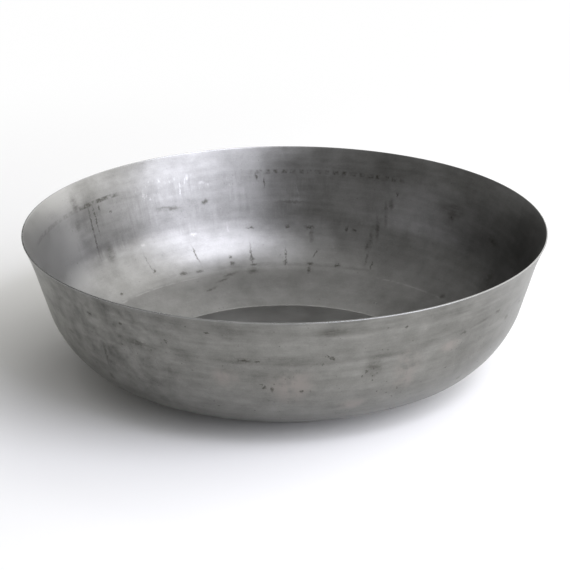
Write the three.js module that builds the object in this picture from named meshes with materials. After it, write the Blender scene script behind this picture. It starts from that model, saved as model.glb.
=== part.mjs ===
// Gold pan: a round bowl deep drawn from one disc of plain steel sheet, open at the top.
// Millimetres, +Z up. The origin is the centre of the underside of the flat base.
//
// From the middle out, the sheet is a flat floor, a crease, a shallow dished band, a soft fold,
// one large knuckle curve, a steep straight wall, and a slight flare up to the bare cut rim.

import * as THREE from 'three';

// Driving dimensions.
const RIM_RADIUS = 200; // outside of the rim
const HEIGHT = 112.5; // underside of the base to the top of the rim
const SHEET = 1.2; // thickness of the sheet, the same all over
const CREASE_RADIUS = 4; // inside radius of the bend round the flat floor
const DISH_SLOPE = degrees(24); // rise of the dished band above level, where it leaves the crease
const DISH_END_SLOPE = degrees(27.5);
const DISH_LENGTH = 39; // width of the dished band, along the sheet
const FOLD_RADIUS = 10; // inside radius of the soft fold between the dish and the knuckle
const FOLD_SLOPE = degrees(34.5); // slope after the fold
const KNUCKLE_RADIUS = 70.5; // inside radius of the curve up to the wall
const WALL_SLOPE = degrees(73.1);
const FLARE_RADIUS = 160; // this curve leans the wall outwards
const RIM_SLOPE = degrees(64.6); // slope of the sheet where it ends

// Fineness of the faceted surface.
const TURNS = 72; // facets round the pan, a multiple of 4 so that the widest points lie on X and Y
const CREASE_STEPS = 2;
const DISH_STEPS = 2;
const FOLD_STEPS = 1;
const KNUCKLE_STEPS = 8;
const FLARE_STEPS = 3;

// Every curve from the floor's edge to the rim, except for the straight wall before the flare.
const DISH_RADIUS = DISH_LENGTH / (DISH_END_SLOPE - DISH_SLOPE);
const CREASE = { radius: CREASE_RADIUS, from: 0, to: DISH_SLOPE, steps: CREASE_STEPS };
const DISH = { radius: DISH_RADIUS, from: DISH_SLOPE, to: DISH_END_SLOPE, steps: DISH_STEPS };
const FOLD = { radius: FOLD_RADIUS, from: DISH_END_SLOPE, to: FOLD_SLOPE, steps: FOLD_STEPS };
const KNUCKLE = { radius: KNUCKLE_RADIUS, from: FOLD_SLOPE, to: WALL_SLOPE, steps: KNUCKLE_STEPS };
const FLARE = { radius: FLARE_RADIUS, from: WALL_SLOPE, to: RIM_SLOPE, steps: FLARE_STEPS };

function degrees(angle) {
  return THREE.MathUtils.degToRad(angle);
}

/** How far an arc of the sheet goes outwards and upwards between two slopes. */
function arcReach(radius, from, to) {
  return {
    out: radius * Math.abs(Math.sin(to) - Math.sin(from)),
    up: radius * Math.abs(Math.cos(to) - Math.cos(from)),
  };
}

/** Length of straight wall that the height leaves between the knuckle and the flare. */
function wallLength() {
  const curved = [CREASE, DISH, FOLD, KNUCKLE, FLARE]
    .reduce((sum, curve) => sum + arcReach(curve.radius, curve.from, curve.to).up, 0);
  return (HEIGHT - SHEET - curved) / Math.sin(WALL_SLOPE);
}

/** Points along the inside of the sheet from the floor's edge to the rim, each with its slope. */
function insideLine() {
  const line = [{ out: 0, up: SHEET, slope: 0 }];

  const straight = (length) => {
    const { out, up, slope } = line.at(-1);
    line.push({ out: out + length * Math.cos(slope), up: up + length * Math.sin(slope), slope });
  };

  const bend = ({ radius, from, to, steps }) => {
    const start = line.at(-1);
    for (let step = 1; step <= steps; step += 1) {
      const slope = THREE.MathUtils.lerp(from, to, step / steps);
      const reach = arcReach(radius, from, slope);
      line.push({ out: start.out + reach.out, up: start.up + reach.up, slope });
    }
  };

  [CREASE, DISH, FOLD, KNUCKLE].forEach(bend);
  straight(wallLength());
  bend(FLARE);

  // The edge is cut square to the sheet, so its lower corner is the widest point of the pan.
  const insideRimRadius = RIM_RADIUS - SHEET * Math.sin(RIM_SLOPE);
  const shift = insideRimRadius - line.at(-1).out;
  return line.map(({ out, up, slope }) => ({ out: out + shift, up, slope }));
}

/** The whole section of the sheet, out along the underside and back along the inside. */
function sheetSection() {
  const inside = insideLine();
  const outside = inside.map(({ out, up, slope }) => new THREE.Vector2(
    out + SHEET * Math.sin(slope),
    up - SHEET * Math.cos(slope),
  ));
  const back = inside.map(({ out, up }) => new THREE.Vector2(out, up)).reverse();
  return [new THREE.Vector2(0, 0), ...outside, ...back, new THREE.Vector2(0, SHEET)];
}

function panShell() {
  const geometry = new THREE.LatheGeometry(sheetSection(), TURNS);
  geometry.rotateX(Math.PI / 2);
  const steel = new THREE.MeshStandardMaterial({ color: 0x8b8a86, roughness: 0.42, metalness: 1 });
  const mesh = new THREE.Mesh(geometry, steel);
  mesh.name = 'pan_shell';
  return mesh;
}

const goldPan = new THREE.Group();
goldPan.add(panShell());

export default goldPan;
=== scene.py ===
"""How a pressed steel gold pan looks: its fine surface, raw steel, floor, studio light and camera.

Metres, +Z up. The origin is the centre of the underside of the flat base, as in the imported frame.
"""

import functools
import math
import bpy
from mathutils import Matrix, Vector, noise


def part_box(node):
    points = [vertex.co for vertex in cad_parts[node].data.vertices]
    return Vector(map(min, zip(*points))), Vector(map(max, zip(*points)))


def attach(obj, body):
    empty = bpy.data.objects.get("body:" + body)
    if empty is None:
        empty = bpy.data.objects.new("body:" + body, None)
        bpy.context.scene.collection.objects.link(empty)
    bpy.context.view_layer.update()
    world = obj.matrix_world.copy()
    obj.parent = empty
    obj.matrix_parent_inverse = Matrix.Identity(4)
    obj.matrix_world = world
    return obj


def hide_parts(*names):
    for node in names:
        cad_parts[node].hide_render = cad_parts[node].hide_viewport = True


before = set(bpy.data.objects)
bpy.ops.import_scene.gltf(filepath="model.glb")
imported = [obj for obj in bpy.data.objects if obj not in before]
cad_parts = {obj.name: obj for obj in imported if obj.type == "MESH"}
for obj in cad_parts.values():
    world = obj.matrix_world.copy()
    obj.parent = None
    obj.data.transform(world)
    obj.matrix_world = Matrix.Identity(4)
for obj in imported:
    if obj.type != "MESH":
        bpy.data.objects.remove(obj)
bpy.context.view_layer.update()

# The section of the sheet from the flat floor's edge up to the rim. It is the CAD's with softer bends.
RIM_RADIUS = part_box("pan_shell")[1].x
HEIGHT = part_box("pan_shell")[1].z
SHEET = 0.0012
CREASE_RADIUS = 0.004
DISH_SLOPE = math.radians(24.0)
DISH_LENGTH = 0.039
DISH_END_SLOPE = math.radians(27.5)
FOLD_RADIUS = 0.018
FOLD_SLOPE = math.radians(38.0)
KNUCKLE_RADIUS = 0.079
KNUCKLE_SLOPE = math.radians(67.5)
SHOULDER_RADIUS = 0.055
WALL_SLOPE = math.radians(73.1)
FLARE_RADIUS = 0.160
RIM_SLOPE = math.radians(64.6)

# Fineness of the mesh: faces round the pan, rings on the floor and in each short bend, length of a face.
TURNS = 384
FLOOR_STEPS = 22
CREASE_STEPS = 5
FOLD_STEPS = 4
SHOULDER_STEPS = 4
EDGE_STEPS = 4
STEP = 0.0016

# Small irregularities of the surface. The waves fade out towards the floor and the rim.
EDGE_ROUND = 0.0003
WAVE_HEIGHT = 0.00018
WAVE_LENGTH = 0.055
WAVE_START = 0.120
WAVE_FADE_FLOOR = 0.030
WAVE_FADE_RIM = 0.020

# The material. Marks are placed by angle round the pan and by depth below the rim along the sheet.
# To keep their sizes alike, the turn is measured on a circle of ROLL_RADIUS.
MM = 0.001
ROLL_RADIUS = 0.180
SIDE_GAP = 3.0
MARK_SHAKE = 5.4 * MM
FAR_OFF = 9.0

# How deep below the rim the things that run round the inside lie. FLOOR_DEPTH is the flat floor's edge.
DASH_DEPTH = 21.2 * MM
NEEDLE_DEPTH = 24.5 * MM
DRAW_LINE_DEPTH = 43 * MM
# Middle of a band of painted highlight low on the inside wall.
PAINTED_HIGHLIGHT_DEPTH = 99 * MM
GRIME_LINE_DEPTH = 100.8 * MM
FOLD_DEPTH = 106.8 * MM
FLOOR_DEPTH = 147.5 * MM

# The bands outside: depth and half height in mm, and how much lighter, or below 0 darker.
OUTSIDE_BANDS = (
    (9, 3.5, -0.8),
    (18.5, 2.0, 0.9),
    (35, 3.0, -1.0),
    (41, 1.5, 0.8),
    (50, 3.0, -0.4),
)

# Finish of the steel. The tone runs from STEEL_DARK at 0 to STEEL_LIGHT at 1.
BASE_TONE = 0.5
BASE_ROUGHNESS = 0.355
STEEL_DARK = (0.093, 0.092, 0.087)
STEEL_LIGHT = (0.323, 0.320, 0.313)
OUTSIDE_TINT = (1.0, 1.0, 0.950)
BARE_EDGE = (0.330, 0.332, 0.330)
GRIME = (0.050, 0.047, 0.038)
WARM = (0.262, 0.244, 0.224)

# The camera, from a fit of the photo's outline together with the pan's section.
SIGHT_DISTANCE = 1.8
SIGHT_ELEVATION = math.radians(21.22)
SIGHT_ROLL = math.radians(-0.238)
LENS = 147.35
SHIFT = (0.0002, 0.0144)

# The studio. Each light is a panel that stands beside the pan and faces its axis:
# angle in degrees round the pan, height of its lower and upper edge, brightness, colour.
# The brightnesses came from a fit of a few panels to the photo. They were rounded, and some
# were changed.
KEY_COLOUR = (0.970, 0.984, 1.100)
FILL_COLOUR = (1.0, 0.998, 0.985)
LIGHT_DISTANCE = 1.2
LIGHT_WIDTH = 0.64
LIGHTS = (
    (270, 1.3, 1.9, 1.0, FILL_COLOUR),
    (303, 0.0, 1.3, 2.8, KEY_COLOUR),
    (300, 1.3, 1.9, 8.2, KEY_COLOUR),
    (331, 0.0, 1.3, 5.0, KEY_COLOUR),
    (330, 1.3, 1.9, 8.0, KEY_COLOUR),
    (0, 0.0, 1.9, 1.9, FILL_COLOUR),
    (30, 0.0, 1.9, 1.9, FILL_COLOUR),
    (60, 0.0, 1.9, 1.25, FILL_COLOUR),
    (90, 1.3, 1.9, 3.0, FILL_COLOUR),
)
TOP_HEIGHT = 2.0
TOP_WIDTH = 2.1
TOP_BRIGHTNESS = 0.42
ROOM_BRIGHTNESS = 0.33
BACKGROUND = (0.99, 0.99, 0.99)

# The floor is pale paper, just under the pan. It turns into an even white glow between NEAR and FAR.
PAPER = (0.850, 0.845, 0.830)
PAPER_REACH = 60.0
PAPER_LEVEL = -0.0001
PAPER_NEAR = 0.18
PAPER_FAR = 0.85


# ---------------------------------------------------------------- shape


def arc_reach(radius, start, end):
    """How far out and up an arc of the sheet goes while its slope changes from start to end."""
    out = radius * abs(math.sin(end) - math.sin(start))
    up = radius * abs(math.cos(end) - math.cos(start))
    return out, up


def wall_length():
    """Length of straight wall left between the shoulder and the flare at this height."""
    curves = (
        (CREASE_RADIUS, 0.0, DISH_SLOPE),
        (DISH_LENGTH / (DISH_END_SLOPE - DISH_SLOPE), DISH_SLOPE, DISH_END_SLOPE),
        (FOLD_RADIUS, DISH_END_SLOPE, FOLD_SLOPE),
        (KNUCKLE_RADIUS, FOLD_SLOPE, KNUCKLE_SLOPE),
        (SHOULDER_RADIUS, KNUCKLE_SLOPE, WALL_SLOPE),
        (FLARE_RADIUS, WALL_SLOPE, RIM_SLOPE),
    )
    rest = HEIGHT - SHEET - sum(arc_reach(*curve)[1] for curve in curves)
    return rest / math.sin(WALL_SLOPE)


class SheetLine:
    """Points along the inside of the sheet, as (out, up, slope, distance gone along the sheet)."""

    def __init__(self):
        self.points = [(0.0, SHEET, 0.0, 0.0)]

    def straight(self, length, steps):
        out, up, slope, gone = self.points[-1]
        for i in range(1, steps + 1):
            part = length * i / steps
            place = (out + part * math.cos(slope), up + part * math.sin(slope))
            self.points.append((*place, slope, gone + part))

    def bend(self, radius, slope_after, steps):
        out, up, slope, gone = self.points[-1]
        for i in range(1, steps + 1):
            now = slope + (slope_after - slope) * i / steps
            reach_out, reach_up = arc_reach(radius, slope, now)
            length = radius * abs(now - slope)
            self.points.append((out + reach_out, up + reach_up, now, gone + length))


def inside_line():
    """The inside of the sheet from the middle of the floor to the rim, as (out, up, slope, depth)."""
    knuckle_length = KNUCKLE_RADIUS * (KNUCKLE_SLOPE - FOLD_SLOPE)
    flare_length = FLARE_RADIUS * (WALL_SLOPE - RIM_SLOPE)
    line = SheetLine()
    line.bend(CREASE_RADIUS, DISH_SLOPE, CREASE_STEPS)
    line.bend(DISH_LENGTH / (DISH_END_SLOPE - DISH_SLOPE), DISH_END_SLOPE, round(DISH_LENGTH / STEP))
    line.bend(FOLD_RADIUS, FOLD_SLOPE, FOLD_STEPS)
    line.bend(KNUCKLE_RADIUS, KNUCKLE_SLOPE, round(knuckle_length / STEP))
    line.bend(SHOULDER_RADIUS, WALL_SLOPE, SHOULDER_STEPS)
    line.straight(wall_length(), round(wall_length() / STEP))
    line.bend(FLARE_RADIUS, RIM_SLOPE, round(flare_length / STEP))

    last_out, _, _, length = line.points[-1]
    shift = RIM_RADIUS - SHEET * math.sin(RIM_SLOPE) - last_out
    wall = [(out + shift, up, slope, length - gone) for out, up, slope, gone in line.points]
    floor = [(shift * i / FLOOR_STEPS, SHEET, 0.0, length + shift * (1 - i / FLOOR_STEPS))
             for i in range(1, FLOOR_STEPS)]
    return floor + wall


def section_rings():
    """Rings of the closed section from the inside middle, over the cut edge, to the underside's middle.

    Each is (out, up, slope, depth below the rim along the sheet, side). Side is 1 inside, 0 outside.
    """
    inside = inside_line()
    rings = [(out, up, slope, depth, 1.0) for out, up, slope, depth in inside[:-1]]

    out, up, slope, _ = inside[-1]
    along = Vector((math.cos(slope), math.sin(slope)))
    down = Vector((math.sin(slope), -math.cos(slope)))
    corner_top = Vector((out, up))
    for start, turn, side in ((0.0, 1, 1.0), (SHEET, -1, 0.0)):
        corner = []
        for i in range(EDGE_STEPS + 1):
            angle = math.radians(90) * i / EDGE_STEPS
            across = EDGE_ROUND * (1 - math.sin(math.radians(90) - angle))
            back = EDGE_ROUND * (1 - math.sin(angle))
            place = corner_top + down * (start + turn * across) - along * back
            corner.append((place.x, place.y, slope, back, side))
        rings += corner if turn > 0 else corner[::-1]

    for out, up, slope, depth in reversed(inside[:-1]):
        rings.append((out + SHEET * math.sin(slope), up - SHEET * math.cos(slope), slope, depth, 0.0))
    return rings


def wave(out, up, angle):
    """Small unevenness of the drawn wall, none on the flat floor and at the rim."""
    around = Vector((out * math.cos(angle), out * math.sin(angle), up)) / WAVE_LENGTH
    fade_floor = min(1.0, max(0.0, (out - WAVE_START) / WAVE_FADE_FLOOR))
    fade_rim = min(1.0, max(0.0, (HEIGHT - up) / WAVE_FADE_RIM))
    return WAVE_HEIGHT * noise.fractal(around, 0.7, 2.0, 2) * fade_floor * fade_rim


def pan_mesh():
    """The section turned round the axis, with the depth and the side kept at every point."""
    rings = section_rings()
    points, depths, sides = [], [], []
    for out, up, slope, depth, side in rings:
        for turn in range(TURNS):
            angle = math.tau * turn / TURNS
            push = wave(out, up, angle)
            radius = out - push * math.sin(slope)
            height = up + push * math.cos(slope)
            points.append((radius * math.cos(angle), radius * math.sin(angle), height))
            depths.append(depth)
            sides.append(side)

    faces = []
    for ring in range(len(rings) - 1):
        for turn in range(TURNS):
            after = (turn + 1) % TURNS
            a, b = ring * TURNS + turn, ring * TURNS + after
            faces.append((a, a + TURNS, b + TURNS, b))

    for ring, level in ((0, SHEET), (len(rings) - 1, 0.0)):
        _, _, _, depth, side = rings[ring]
        middle = len(points)
        points.append((0.0, 0.0, level))
        depths.append(depth)
        sides.append(side)
        for turn in range(TURNS):
            pair = (ring * TURNS + turn, ring * TURNS + (turn + 1) % TURNS)
            faces.append((middle, *pair) if side else (middle, *pair[::-1]))

    mesh = bpy.data.meshes.new("pan")
    mesh.from_pydata(points, [], faces)
    for name, values in (("depth", depths), ("inside", sides)):
        mesh.attributes.new(name, "FLOAT", "POINT").data.foreach_set("value", values)
    mesh.shade_smooth()
    mesh.validate()
    return mesh


# ---------------------------------------------------------------- materials


class Shading:
    """Adds nodes to one material. Each value given is a number, a tuple or the output of another node."""

    def __init__(self, name):
        self.material = bpy.data.materials.new(name)
        self.material.use_nodes = True
        self.tree = self.material.node_tree
        self.shader = self.tree.nodes["Principled BSDF"]

    def put(self, socket, value):
        if isinstance(value, bpy.types.NodeSocket):
            self.tree.links.new(value, socket)
        else:
            socket.default_value = value

    def node(self, kind, inputs, output=0, **settings):
        made = self.tree.nodes.new(kind)
        for name, setting in settings.items():
            setattr(made, name, setting)
        for place, value in inputs.items():
            self.put(made.inputs[place], value)
        return made.outputs[output]

    def math(self, operation, *values):
        return self.node("ShaderNodeMath", dict(enumerate(values)), operation=operation)

    def vector(self, operation, *values):
        return self.node("ShaderNodeVectorMath", dict(enumerate(values)), operation=operation)

    def total(self, *parts):
        return functools.reduce(lambda one, other: self.math("ADD", one, other), parts)

    def product(self, *parts):
        return functools.reduce(lambda one, other: self.math("MULTIPLY", one, other), parts)

    def strongest(self, *parts):
        return functools.reduce(lambda one, other: self.math("MAXIMUM", one, other), parts)

    def join(self, x, y, z):
        return self.node("ShaderNodeCombineXYZ", {0: x, 1: y, 2: z})

    def span(self, value, low, high, to_low=0.0, to_high=1.0):
        """Value carried smoothly from low..high to to_low..to_high, and held at the ends."""
        inputs = {"Value": value, "From Min": low, "From Max": high, "To Min": to_low, "To Max": to_high}
        return self.node("ShaderNodeMapRange", inputs, interpolation_type="SMOOTHSTEP")

    def strip(self, value, middle, half, soft):
        """1 where value is within half of the middle, fading to 0 over soft."""
        away = self.math("ABSOLUTE", self.math("SUBTRACT", value, middle))
        return self.span(away, half, half + soft, 1.0, 0.0)

    def noise(self, place, size, detail=3.0, rough=0.5, output=0):
        """Noise from 0 to 1, with features of this size in metres: one number, or one for each axis."""
        sizes = size if isinstance(size, tuple) else (size, size, size)
        scale = tuple(1 / part for part in sizes)
        spread = self.node("ShaderNodeMapping", {"Vector": place, "Scale": scale})
        inputs = {"Vector": spread, "Scale": 1.0, "Detail": detail, "Roughness": rough}
        return self.node("ShaderNodeTexNoise", inputs, output)

    def mix(self, factor, first, second):
        """The first colour where factor is 0, the second where it is 1."""
        return self.blend("MIX", factor, first, second)

    def tint(self, factor, colour, tint):
        """The colour, multiplied by the tint where factor is 1."""
        return self.blend("MULTIPLY", factor, colour, tint)

    def blend(self, kind, factor, first, second):
        inputs = {0: factor}
        for place, value in ((6, first), (7, second)):
            inputs[place] = value if isinstance(value, bpy.types.NodeSocket) else (*value, 1.0)
        return self.node("ShaderNodeMix", inputs, 2, data_type="RGBA", blend_type=kind)

    def dot(self, place, axis):
        return self.node("ShaderNodeVectorMath", {0: place, 1: axis}, "Value", operation="DOT_PRODUCT")

    def marks(self, plane, marks, soft=0.5):
        """1 in each mark, and 0 between.

        A mark is (degrees round the pan, depth in mm, half width, half height, tilt in degrees).
        """
        nearest = FAR_OFF
        for tilt in sorted({mark[4] for mark in marks}):
            across = Vector((math.cos(math.radians(tilt)), math.sin(math.radians(tilt)), 0))
            along = Vector((-across.y, across.x, 0))
            tilted = self.join(self.dot(plane, across), self.dot(plane, along), 0.0)
            alike = [mark for mark in marks if mark[4] == tilt]
            for angle, depth, half_width, half_height, _ in alike:
                middle = Vector((math.radians(angle) * ROLL_RADIUS, depth * MM, 0))
                moved = self.vector("SUBTRACT", tilted, (middle.dot(across), middle.dot(along), 0.0))
                size = (1 / (half_width * MM), 1 / (half_height * MM), 0.0)
                local = self.vector("MULTIPLY", moved, size)
                away = self.node("ShaderNodeVectorMath", {0: local}, "Value", operation="LENGTH")
                nearest = self.math("MINIMUM", nearest, away)
        return self.span(nearest, 1.0 - soft, 1.0 + soft, 1.0, 0.0)


class Places:
    """Where a point of the pan lies, in the ways that the patterns of the steel need."""

    def __init__(self, s):
        self.spot = s.node("ShaderNodeTexCoord", {}, "Object")
        self.depth = s.node("ShaderNodeAttribute", {}, "Fac", attribute_name="depth")
        self.inside = s.node("ShaderNodeAttribute", {}, "Fac", attribute_name="inside")
        self.outside = s.math("SUBTRACT", 1.0, self.inside)

        x = s.node("ShaderNodeSeparateXYZ", {0: self.spot}, "X")
        y = x.node.outputs["Y"]
        turn = s.math("ARCTAN2", y, x)
        self.turn = s.math("WRAP", turn, math.tau * 0.75, math.tau * -0.25)
        turn_outside = s.math("WRAP", turn, math.tau, 0.0)

        # Two ways to spread a pattern over the sheet, both with z going down it. "round" is as wide as
        # the pan is at each point, and "rolled" is equally wide everywhere, so that lines run straight
        # down. The inside and the outside are set well apart, so that their patterns differ.
        down = s.math("MULTIPLY_ADD", self.inside, SIDE_GAP, self.depth)
        self.round = s.join(x, y, down)
        outwards = s.vector("NORMALIZE", s.join(x, y, 0.0))
        ring = s.vector("MULTIPLY", outwards, (ROLL_RADIUS, ROLL_RADIUS, 0.0))
        self.rolled = s.vector("ADD", ring, s.join(0.0, 0.0, down))

        ragged = s.noise(self.spot, 2.0 * MM, 3.0, 0.65, output="Color")
        centred = s.vector("SUBTRACT", ragged, (0.5, 0.5, 0.5))
        self.push = s.vector("MULTIPLY", centred, (MARK_SHAKE, MARK_SHAKE, 0.0))
        self.plane_inside = self.plane(s, self.turn)
        self.plane_outside = self.plane(s, turn_outside)

    def plane(self, s, turn):
        """The sheet rolled out flat: x round the pan, y down from the rim. It is shaken a little, which
        gives marks ragged edges."""
        flat = s.join(s.math("MULTIPLY", turn, ROLL_RADIUS), self.depth, 0.0)
        return s.vector("ADD", flat, self.push)

    def from_angle(self, s, low, high, soft):
        """1 between two angles in degrees, fading to 0 over soft degrees."""
        middle = math.radians((low + high) / 2)
        half = math.radians((high - low) / 2)
        return s.strip(self.turn, middle, half, math.radians(soft))


def draw_lines(s, at):
    """Fine lines that the punch left down the inside of the wall, stronger at the back."""
    lines = s.noise(at.rolled, (2.3 * MM, 2.3 * MM, 26 * MM), 4.0, 0.65)
    patches = s.span(s.noise(at.rolled, (16 * MM, 16 * MM, 22 * MM), 2.0), 0.38, 0.62)
    wall = s.product(at.inside, s.strip(at.depth, DRAW_LINE_DEPTH, 19 * MM, 9 * MM))
    back = s.math("MULTIPLY_ADD", at.from_angle(s, 76, 147, 12), 0.8, 0.2)
    return s.product(s.math("SUBTRACT", lines, 0.5), patches, wall, back)


def ring_dashes(s, at):
    """The row of short dark marks round the inside, below the rim."""
    row = s.strip(at.depth, DASH_DEPTH, 0.9 * MM, 1.5 * MM)
    shaken = s.math("MULTIPLY_ADD", s.noise(at.rolled, 9 * MM), math.radians(2.4), at.turn)
    beat = s.math("PINGPONG", shaken, math.radians(1.1))
    dash = s.span(beat, math.radians(0.15), math.radians(0.70))
    uneven = s.span(s.noise(at.rolled, 5 * MM, 2.0), 0.32, 0.60, 0.1, 1.0)
    back = s.product(at.from_angle(s, 64, 93, 9), dash, uneven)
    left = s.product(at.from_angle(s, 138, 149, 4), uneven)
    faint = s.product(at.from_angle(s, 152, 174, 5), uneven, 0.35)
    return s.product(row, at.inside, s.strongest(back, left, faint))


def painted_fold_highlight(s, at):
    """A thin painted highlight along the crest of the soft fold, in two places."""
    line = s.strip(at.depth, FOLD_DEPTH, 0.2 * MM, 0.9 * MM)
    patchy = s.span(s.noise(at.rolled, 9 * MM, 2.0), 0.40, 0.56)
    places = s.strongest(at.from_angle(s, 36, 58, 3), at.from_angle(s, 118, 148, 6))
    return s.product(line, patchy, places, at.inside)


def bright_needles(s, at):
    """Short bright rubs under the row of dashes, where the sheet was polished against the die."""
    needle = s.span(s.noise(at.rolled, (1.5 * MM, 1.5 * MM, 7 * MM), 1.0), 0.56, 0.70)
    patch = s.span(s.noise(at.rolled, (10 * MM, 10 * MM, 5 * MM), 1.0), 0.45, 0.60)
    rows = s.strip(at.depth, NEEDLE_DEPTH, 5.5 * MM, 3 * MM)
    return s.product(needle, patch, rows, at.from_angle(s, 107, 128, 6), at.inside)


def level_bands(s, at):
    """Streaks level with the rim, where the sheet was rubbed round and round. 0.5 is none."""
    fine = s.noise(at.round, (55 * MM, 55 * MM, 5 * MM), 4.0, 0.55)
    broad = s.noise(at.round, (120 * MM, 120 * MM, 15 * MM), 2.0, 0.5)
    return s.total(s.product(fine, 0.5), s.product(broad, 0.5))


def scratches(s, at):
    """Hairline scratches from handling, in three directions."""
    lines = []
    for tilt, start in ((10, 0.2), (-38, 3.1), (71, 7.7)):
        turned = s.node("ShaderNodeMapping", {
            "Vector": at.plane_outside,
            "Location": (start, start, 0.0),
            "Rotation": (0.0, 0.0, math.radians(tilt)),
        })
        lines.append(s.span(s.noise(turned, (30 * MM, 0.5 * MM, 1.0), 0.0), 0.78, 0.86))
    return s.strongest(*lines)


def pits(s, at):
    """Tiny dark pits, crowded in a few places and rare elsewhere, and more of them outside."""
    crowd = s.span(s.noise(at.round, 24 * MM, 2.0), 0.46, 0.62, 0.10, 1.0)
    specks = []
    for size, share in ((3.6 * MM, 0.40), (2.0 * MM, 0.26)):
        cell = s.node("ShaderNodeTexVoronoi", {"Vector": at.spot, "Scale": 1 / size}, "Distance")
        chance = s.node("ShaderNodeSeparateColor", {0: cell.node.outputs["Color"]}, "Red")
        dot = s.span(cell, 0.10, 0.24, 1.0, 0.0)
        specks.append(s.product(dot, s.span(chance, 1 - share, 1.0)))
    return s.product(s.strongest(*specks), crowd, s.math("MULTIPLY_ADD", at.outside, 0.65, 0.35))


def inside_marks(s, at):
    """Marks of use inside, listed one by one: [sharp dark spots, soft dark smears, bright rubs]."""
    spots = [
        (139.3, 33, 1.0, 1.0, 0), (111.2, 42.6, 2.6, 1.7, 20), (99.5, 68, 3.6, 0.7, 0),
        (89.3, 68, 1.9, 1.4, 0), (83.2, 68, 3.8, 1.4, 0), (72.8, 67.5, 1.1, 2.2, 0),
        (70.6, 68, 2.0, 0.9, 0), (59.9, 33.4, 0.6, 1.6, 0), (97.2, 25, 0.8, 2.4, 20),
        (95.2, 30, 0.5, 3.6, 0), (142.8, 27, 0.8, 2.2, 0), (131.1, 91.5, 1.6, 1.2, 40),
        (89.7, 94, 0.6, 8.0, 0), (116.3, 86, 0.5, 7.0, 12), (81.0, 90.5, 0.5, 4.0, -35),
        (131.8, 84, 0.4, 7.0, 8), (25.5, 45, 2.2, 2.0, 0), (42.5, 41.3, 1.6, 1.0, 0),
        (146.8, 44, 0.6, 19.0, -3), (144.8, 35, 0.5, 11.0, 0), (99.9, 92, 0.6, 10.0, 0),
        (63.3, 96, 0.7, 3.4, 0),
    ]
    grime_at_fold = [
        (122.3, 100, 3.4, 1.6, 0), (117.0, 100.8, 3.4, 1.1, 0), (106.0, 98.0, 1.9, 2.2, 0),
        (106.2, 91.5, 1.5, 1.3, 0), (99.5, 100.6, 3.2, 1.0, 0), (99.9, 94.8, 2.2, 1.3, 0),
        (89.8, 99.8, 1.8, 2.0, 0), (82.2, 100.2, 2.8, 1.4, 0), (82.4, 106, 1.4, 3.4, 0),
        (73.7, 100.2, 2.6, 1.2, 0), (147.0, 100, 1.4, 1.2, 0),
    ]
    smears = [
        (88.0, 47, 11, 1.2, 0), (121.5, 43.4, 9.0, 1.6, -8), (61.2, 42, 1.8, 3.4, 8),
        (62.4, 51, 1.3, 8.0, 8), (64.2, 64, 1.3, 8.5, 8), (66.2, 79, 1.9, 4.4, 0),
        (65.4, 91, 0.9, 6.0, 0), (42.5, 41.3, 4.6, 2.4, -15), (25.5, 45, 6.5, 4.0, 0),
        (21.0, 73, 5.0, 11, 0), (107.5, 108.5, 6.5, 1.2, 15), (110.5, 113.5, 7.0, 1.1, 15),
        (116.0, 121.5, 6.0, 1.0, 15), (100.0, 107, 4.5, 3.0, 0), (34.0, 104.5, 3.0, 2.0, 0),
        (143.0, 66, 4.0, 7.0, 0), (151.0, 16, 3.0, 7.0, 0), (152.0, 33, 3.0, 3.0, 0),
        (82.5, 75, 1.6, 5.0, 0), (24.0, 46, 3.0, 2.4, 0), (43.0, 35, 10.0, 8.0, 0),
        (65.6, 74, 1.5, 6.0, 8),
    ]
    rubs = [
        (105.6, 67.5, 0.7, 2.0, 0), (115.6, 68, 2.6, 1.0, 0), (131.5, 68, 2.0, 0.8, 0),
        (128.0, 29, 0.5, 3.2, 0), (126.4, 32, 0.5, 1.6, 0), (117.6, 31, 0.5, 3.0, 0),
        (111.5, 26, 2.4, 1.0, 0), (156.0, 29, 1.2, 1.6, 0), (55.2, 133, 0.9, 0.8, 0),
        (53.9, 133.4, 1.0, 0.9, 0), (86.0, 123, 0.8, 0.5, 0), (81.0, 122, 0.6, 0.5, 0),
    ]
    dark = s.marks(at.plane_inside, spots + grime_at_fold, 0.7)
    soft = s.marks(at.plane_inside, smears, 0.95)
    bright = s.marks(at.plane_inside, rubs, 0.8)
    return [s.product(part, at.inside) for part in (dark, soft, bright)]


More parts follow.
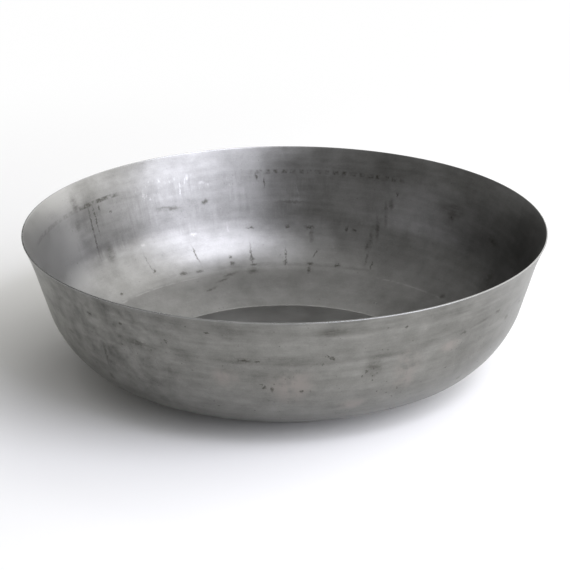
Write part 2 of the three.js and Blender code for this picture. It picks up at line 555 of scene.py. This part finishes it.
def outside_marks(s, at):
    """Marks of use outside, listed one by one: [sharp dark pits, soft dark smears, warm patches]."""
    pitting = [
        (280.0, 34.0, 2.0, 1.1, 45), (279.0, 31.5, 1.4, 0.9, 60), (278.0, 39.0, 0.9, 1.0, 0),
        (265.4, 59, 1.0, 1.4, 70), (267.0, 61.0, 0.9, 2.0, 0), (264.8, 56.5, 0.7, 0.9, 0),
        (273.7, 63.0, 1.2, 1.2, 0), (261.2, 35.4, 3.4, 1.0, 4), (264.0, 36.2, 1.6, 0.8, 0),
        (223.7, 20.0, 2.2, 1.1, 0), (233.0, 19.5, 0.7, 1.2, 0), (324.0, 28.4, 2.6, 1.4, 0),
        (288.0, 49.0, 1.0, 1.4, 0), (289.6, 47.4, 0.8, 0.8, 0), (287.2, 53.0, 0.6, 1.0, 0),
        (253.8, 13.0, 1.6, 0.7, 0), (309.5, 62.0, 0.7, 0.7, 0), (291.4, 12.0, 0.7, 0.7, 0),
        (295.8, 13.6, 0.9, 1.0, 0), (244.0, 25.0, 0.7, 0.9, 0),
    ]
    smears = [
        (318.5, 30.0, 8.0, 1.3, -8), (212.6, 19.6, 4.4, 1.0, -22), (338.0, 37.5, 4.2, 1.2, 22),
        (330.0, 41.0, 2.4, 2.0, 20), (225.2, 55.0, 1.1, 9.0, 6), (223.3, 78.0, 2.0, 3.4, 20),
        (312.5, 34.0, 2.4, 1.0, 0), (212.0, 49.0, 3.4, 1.6, 0), (279.0, 10.5, 9.0, 3.0, 0),
        (289.5, 47.0, 5.0, 6.0, 0), (318.0, 83.0, 2.4, 2.0, 0), (236.5, 33.5, 9.0, 1.4, 0),
    ]
    warm = [
        (271.5, 57.0, 13.0, 13.0, 0), (298.0, 50.0, 8.0, 11.0, 0), (298.0, 65.0, 7.0, 6.0, 0),
        (309.0, 42.0, 7.0, 4.0, 0), (257.0, 52.0, 8.0, 7.0, 0), (286.0, 82.0, 10.0, 5.0, 0),
    ]
    dark = s.marks(at.plane_outside, pitting, 0.7)
    soft = s.marks(at.plane_outside, smears, 0.8)
    patchy = s.marks(at.plane_outside, warm, 0.8)
    return [s.product(part, at.outside) for part in (dark, soft, patchy)]


def outside_bands(s, at):
    """The darker and lighter bands level with the rim outside, broken up round the pan."""
    broken = s.noise(at.round, (36 * MM, 36 * MM, 7 * MM), 3.0, 0.55)
    parts = []
    for depth, half, strength in OUTSIDE_BANDS:
        parts.append(s.product(s.strip(at.depth, depth * MM, half * MM, 3 * MM), strength))
    return s.product(s.total(*parts), s.span(broken, 0.38, 0.62), at.outside)


def off_middle(s, pattern, gain):
    """How far a pattern of 0 to 1 is from its middle, times gain."""
    return s.math("MULTIPLY_ADD", pattern, gain, -0.5 * gain)


class Steel:
    """The patterns that the colour, the roughness and the bump of the steel share.

    They run from 0 to 1, but for wide_band, lines and streaks, which lie on both sides of 0.
    """

    def __init__(self, s, at):
        self.mottle = s.noise(at.spot, 34 * MM, 4.0, 0.55)
        self.blotches = s.noise(at.spot, 13 * MM, 3.0, 0.6)
        self.smudges = s.noise(at.rolled, (15 * MM, 15 * MM, 4 * MM), 4.0, 0.65)
        self.grain = s.noise(at.spot, 0.9 * MM, 2.0, 0.6)
        self.broken = s.span(s.noise(at.spot, 1.5 * MM, 3.0, 0.6), 0.30, 0.55, 0.35, 1.0)
        self.band = level_bands(s, at)
        self.wide_band = outside_bands(s, at)
        self.lines = draw_lines(s, at)
        self.needles = bright_needles(s, at)
        self.hairs = scratches(s, at)
        self.pits = pits(s, at)
        self.dark_inside, self.soft_inside, self.bright_inside = inside_marks(s, at)
        self.dark_outside, self.soft_outside, self.warm_outside = outside_marks(s, at)
        grime_line = s.strip(at.depth, GRIME_LINE_DEPTH, 0.6 * MM, 2.4 * MM)
        self.grime_line = s.product(grime_line, at.inside, at.from_angle(s, 66, 130, 10))
        self.edge = s.span(at.depth, 0.2 * MM, 0.9 * MM, 1.0, 0.0)

        # How much the level streaks show: most outside and on the wall, least on the dish and the floor.
        streaky_inside = s.span(at.depth, 60 * MM, 112 * MM, 0.62, 0.26)
        self.streaky = s.math("MAXIMUM", s.product(at.outside, 0.62), streaky_inside)
        streaks = s.total(off_middle(s, self.band, 1.10), off_middle(s, self.smudges, 0.50))
        self.streaks = s.product(streaks, self.streaky)


def painted_light_and_region_tones(s, at, steel):
    """How much lighter or darker whole regions are than the rest: mostly painted light and shade.

    They are set against the photo, for light that this studio doesn't copy: painted light on the floor
    disc and the left inside wall, a painted highlight in a band low on the inside, and painted shade on
    the back right inside and on the left and right outside. The left outside also gets blotches of random
    tone.
    """
    floor = s.span(at.depth, FLOOR_DEPTH - 1.5 * MM, FLOOR_DEPTH + 1.5 * MM)
    left_inside = s.product(at.from_angle(s, 159, 200, 14), at.inside, s.span(at.depth, 95 * MM, 70 * MM))
    right_inside = s.product(at.from_angle(s, 34, 66, 12), at.inside, s.span(at.depth, 62 * MM, 48 * MM))
    # A painted highlight: a band low on the inside wall, a little lighter all round and most at the back.
    painted_highlight_band = s.product(s.strip(at.depth, PAINTED_HIGHLIGHT_DEPTH, 9 * MM, 10 * MM), at.inside)
    painted_highlight_lift = s.math("MULTIPLY_ADD", at.from_angle(s, 92, 122, 10), 0.17, 0.02)
    left_outside = s.product(at.from_angle(s, 190, 232, 22), at.outside)
    right_outside = s.product(at.from_angle(s, -48, 0, 20), at.outside)
    return [
        # Painted light: the flat floor disc is made lighter.
        s.product(floor, 0.36),
        # Painted light: the left of the inside wall is made lighter.
        s.product(left_inside, 0.54),
        # Painted shade: the back right of the inside wall is made darker.
        s.product(right_inside, -0.08),
        # Painted highlight low on the inside wall.
        s.product(painted_highlight_lift, painted_highlight_band),
        # Left outside: blotches of random tone, and painted shade that makes it darker.
        s.product(left_outside, off_middle(s, steel.blotches, 0.9)),
        s.product(left_outside, -0.06),
        # Painted shade: the right outside is made darker.
        s.product(right_outside, -0.14),
    ]


def clean_colour(s, at, steel):
    """The colour of the bare metal."""
    tone = s.total(
        BASE_TONE,
        off_middle(s, steel.mottle, 0.55),
        off_middle(s, steel.blotches, 0.45),
        steel.streaks,
        off_middle(s, steel.grain, 0.30),
        s.product(steel.wide_band, 0.13),
        s.product(steel.lines, 0.52),
        # A painted highlight along the crest of the soft fold.
        s.product(painted_fold_highlight(s, at), 0.22),
        s.product(s.strongest(steel.needles, steel.bright_inside), steel.broken, 0.26),
        s.product(steel.hairs, 0.10),
        # Painted light and shade over whole regions, and random blotches on the left outside.
        *painted_light_and_region_tones(s, at, steel),
    )
    colour = s.mix(tone, STEEL_DARK, STEEL_LIGHT)
    colour = s.tint(at.outside, colour, OUTSIDE_TINT)
    warm = s.product(steel.warm_outside, s.span(steel.blotches, 0.30, 0.60))
    return s.mix(warm, colour, WARM)


def dirt_cover(s, at, steel):
    """How much of the metal is hidden by grime."""
    dark = s.strongest(steel.dark_inside, steel.dark_outside)
    soft = s.strongest(steel.soft_inside, steel.soft_outside)
    return s.strongest(
        s.product(dark, steel.broken, 0.80),
        s.product(soft, s.span(steel.smudges, 0.32, 0.62, 0.10, 0.64)),
        s.product(ring_dashes(s, at), steel.broken, 0.80),
        s.product(steel.pits, 0.80),
        s.product(steel.grime_line, s.span(steel.smudges, 0.38, 0.65, 0.0, 0.22)),
    )


def steel_roughness(s, steel, dirt):
    """Rougher under grime and where mottle and streaks are light, smoother on rubs and the edge."""
    return s.total(
        BASE_ROUGHNESS,
        off_middle(s, steel.mottle, 0.22),
        s.product(steel.streaks, 0.18),
        s.product(steel.lines, -0.10),
        s.product(s.strongest(steel.needles, steel.bright_inside), -0.08),
        s.product(dirt, 0.12),
        s.product(steel.edge, -0.08),
    )


def steel_bump(s, steel):
    """Relief of the surface, in metres of height."""
    height = s.total(
        s.product(steel.grain, 0.010 * MM),
        s.product(steel.band, steel.streaky, 0.08 * MM),
        s.product(steel.lines, 0.030 * MM),
        s.product(steel.hairs, -0.012 * MM),
        s.product(steel.pits, -0.05 * MM),
    )
    return s.node("ShaderNodeBump", {"Strength": 1.0, "Distance": 1.0, "Height": height})


def raw_steel():
    """Drawn sheet steel, as the press left it: satin grey, with bands, draw lines, rubs and grime."""
    s = Shading("drawn_steel")
    at = Places(s)
    steel = Steel(s, at)
    clean = clean_colour(s, at, steel)
    dirt = dirt_cover(s, at, steel)
    soiled = s.mix(dirt, clean, GRIME)
    s.put(s.shader.inputs["Base Color"], s.mix(s.product(steel.edge, 0.7), soiled, BARE_EDGE))
    s.put(s.shader.inputs["Roughness"], steel_roughness(s, steel, dirt))
    s.shader.inputs["Metallic"].default_value = 1.0
    s.put(s.shader.inputs["Normal"], steel_bump(s, steel))
    return s.material


def floor_white():
    """Pale studio paper. It takes the shadow near the pan, and glows an even white farther out."""
    s = Shading("floor_white")
    spot = s.node("ShaderNodeTexCoord", {}, "Object")
    away = s.node("ShaderNodeVectorMath", {0: spot}, "Value", operation="LENGTH")
    far = s.span(away, PAPER_NEAR, PAPER_FAR)
    s.put(s.shader.inputs["Base Color"], s.mix(far, PAPER, (0.0, 0.0, 0.0)))
    s.shader.inputs["Emission Color"].default_value = (*BACKGROUND, 1)
    s.put(s.shader.inputs["Emission Strength"], far)
    s.shader.inputs["Roughness"].default_value = 0.9
    s.shader.inputs["Specular IOR Level"].default_value = 0.1
    return s.material


# ---------------------------------------------------------------- stage, light and camera


def add_floor():
    mesh = bpy.data.meshes.new("floor")
    sides = ((-1, -1), (1, -1), (1, 1), (-1, 1))
    corners = [(x * PAPER_REACH, y * PAPER_REACH, PAPER_LEVEL) for x, y in sides]
    mesh.from_pydata(corners, [], [(0, 1, 2, 3)])
    mesh.materials.append(floor_white())
    floor = bpy.data.objects.new("floor", mesh)
    bpy.context.scene.collection.objects.link(floor)


def add_camera():
    data = bpy.data.cameras.new("camera")
    data.lens = LENS
    data.shift_x, data.shift_y = SHIFT
    camera = bpy.data.objects.new("camera", data)
    target = Vector((0, 0, (HEIGHT + SHEET) / 2))
    back = Vector((0, -math.cos(SIGHT_ELEVATION), math.sin(SIGHT_ELEVATION)))
    turn = (-back).to_track_quat("-Z", "Y").to_matrix() @ Matrix.Rotation(SIGHT_ROLL, 3, "Z")
    camera.matrix_world = Matrix.Translation(target + back * SIGHT_DISTANCE) @ turn.to_4x4()
    bpy.context.scene.collection.objects.link(camera)
    bpy.context.scene.camera = camera


def add_soft_box(name, place, towards, width, height, brightness, colour):
    """An evenly bright panel, unseen by the camera, that faces a point."""
    light = bpy.data.lights.new(name, "AREA")
    light.shape = "RECTANGLE"
    light.size = width
    light.size_y = height
    light.energy = math.pi * width * height * brightness
    light.color = colour
    panel = bpy.data.objects.new(name, light)
    panel.location = place
    panel.rotation_euler = (towards - place).to_track_quat("-Z", "Y").to_euler()
    panel.visible_camera = False
    bpy.context.scene.collection.objects.link(panel)


def add_lights():
    for angle, low, high, brightness, colour in LIGHTS:
        middle = (low + high) / 2
        turn = math.radians(angle)
        place = Vector((LIGHT_DISTANCE * math.cos(turn), LIGHT_DISTANCE * math.sin(turn), middle))
        axis = Vector((0, 0, middle))
        add_soft_box(f"light_{angle}_{high}", place, axis, LIGHT_WIDTH, high - low, brightness, colour)
    above = Vector((0, 0, TOP_HEIGHT))
    add_soft_box("light_top", above, Vector((0, 0, 0)), TOP_WIDTH, TOP_WIDTH, TOP_BRIGHTNESS, FILL_COLOUR)


def add_studio():
    """Dim light from all round, and a white backdrop behind it for the camera."""
    world = bpy.data.worlds.new("studio")
    world.use_nodes = True
    tree = world.node_tree
    tree.nodes["Background"].inputs["Color"].default_value = (*FILL_COLOUR, 1)
    tree.nodes["Background"].inputs["Strength"].default_value = ROOM_BRIGHTNESS
    backdrop = tree.nodes.new("ShaderNodeBackground")
    backdrop.inputs["Color"].default_value = (*BACKGROUND, 1)
    seen = tree.nodes.new("ShaderNodeLightPath").outputs["Is Camera Ray"]
    choice = tree.nodes.new("ShaderNodeMixShader")
    tree.links.new(seen, choice.inputs[0])
    tree.links.new(tree.nodes["Background"].outputs[0], choice.inputs[1])
    tree.links.new(backdrop.outputs[0], choice.inputs[2])
    tree.links.new(choice.outputs[0], tree.nodes["World Output"].inputs["Surface"])
    bpy.context.scene.world = world
    bpy.context.scene.view_settings.view_transform = "Standard"


def add_pan():
    pan = bpy.data.objects.new("pan", pan_mesh())
    bpy.context.scene.collection.objects.link(pan)
    pan.data.materials.append(raw_steel())
    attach(pan, "root")
    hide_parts("pan_shell")


add_pan()
add_floor()
add_lights()
add_studio()
add_camera()
